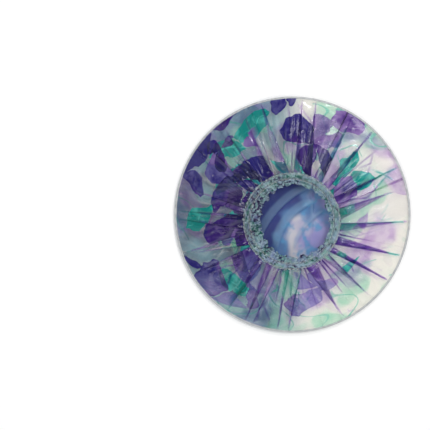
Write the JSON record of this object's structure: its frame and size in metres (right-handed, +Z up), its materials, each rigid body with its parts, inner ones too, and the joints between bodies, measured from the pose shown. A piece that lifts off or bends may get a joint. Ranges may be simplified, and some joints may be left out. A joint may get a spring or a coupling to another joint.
{
  "type": "shower cap",
  "caption": "Bouffant shower cap of printed translucent film, laid flat on its crown: a round back panel welded at the rim to a gathered side panel with an elastic, ruffled opening.",
  "frame": {"origin": "bottom centre of the bounding box: the point of the table under the centre of the round rim, on the underside of the crown panel", "axes": "+Z is up, from the crown panel to the opening; +X is the picture's right and +Y the picture's top, as the cap lies flat with its opening towards the camera"},
  "size_m": [0.28, 0.28, 0.0246],
  "materials": {
    "printed_film": "translucent soft film with a violet, lavender, teal and mint watercolour print",
    "hem_film": "the same film, doubled and crumpled, grey-green with dark specks of print",
    "sealed_film": "clear grey heat-sealed film",
    "elastic": "pale grey-green knitted elastic",
    "thread": "white spun sewing thread"
  },
  "bodies": {
    "cap": {"crown_panel": "printed_film", "side_panel": "printed_film", "rim_weld": "sealed_film"},
    "opening": {"hem_casing": "hem_film", "hem_ruffle": "hem_film", "elastic_band": "elastic", "elastic_lap_tack": "thread", "outer_stitch_row": "thread", "inner_stitch_row": "thread"}
  },
  "joints": [
    {"name": "opening_lift", "type": "slide", "parent": "cap", "child": "opening", "axis": [0, 0, 1], "range_m": [0, 0.024], "deforming": ["side_panel"]}
  ]
}
